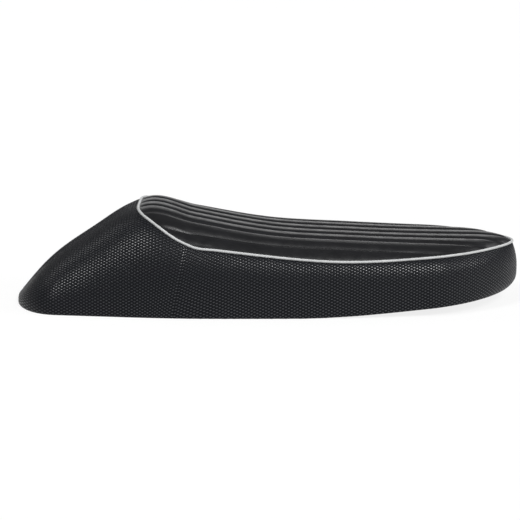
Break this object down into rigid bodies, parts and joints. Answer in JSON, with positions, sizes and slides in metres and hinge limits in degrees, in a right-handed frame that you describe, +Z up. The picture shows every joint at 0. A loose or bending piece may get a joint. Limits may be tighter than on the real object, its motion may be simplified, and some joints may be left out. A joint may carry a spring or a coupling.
{
  "type": "scooter seat",
  "caption": "Sport scooter seat with a low pleated saddle, pale piping, a raised tail hump with woven-look sides, and a steel pan with front hinge and rear catch.",
  "frame": {"origin": "middle of the seat in length and width, on the plane the flat rear part of the rim lies on", "axes": "+X forward to the nose, +Y to the rider's left, +Z up"},
  "size_m": [0.69, 0.2806, 0.1406],
  "materials": {
    "smooth_vinyl": "soft black vinyl, fine grain, low sheen",
    "weave_vinyl": "black vinyl embossed with a twill weave, semi gloss",
    "pale_piping": "light grey vinyl cord, low sheen",
    "foam": "open cell seat foam, matt",
    "black_steel": "black enamel on pressed steel",
    "zinc_steel": "bright zinc plate",
    "rivet_alloy": "plain aluminium",
    "black_rubber": "matt black rubber"
  },
  "bodies": {
    "seat": {"base_pan": "black_steel", "buffer_front_left": "black_rubber", "buffer_front_right": "black_rubber", "buffer_rear_left": "black_rubber", "buffer_rear_right": "black_rubber", "catch_bar": "zinc_steel", "catch_bolts": "zinc_steel", "catch_plate": "zinc_steel", "catch_washers": "zinc_steel", "foam_core": "foam", "hem_rivets": "rivet_alloy", "hem_strip": "weave_vinyl", "hinge_bolts": "zinc_steel", "hinge_bracket": "zinc_steel", "hinge_clip": "zinc_steel", "hinge_pin": "zinc_steel", "hinge_washers": "zinc_steel", "piping": "pale_piping", "side_cover": "weave_vinyl", "tail_cover": "weave_vinyl", "top_cover": "smooth_vinyl", "weld_nuts": "zinc_steel"},
    "frame_leaf": {"hinge_leaf": "zinc_steel"}
  },
  "joints": [
    {"name": "seat_hinge", "type": "hinge", "parent": "seat", "child": "frame_leaf", "pos_m": [0.278, 0, 0.02309], "axis": [0, -1, 0], "range_deg": [0, 95]}
  ]
}
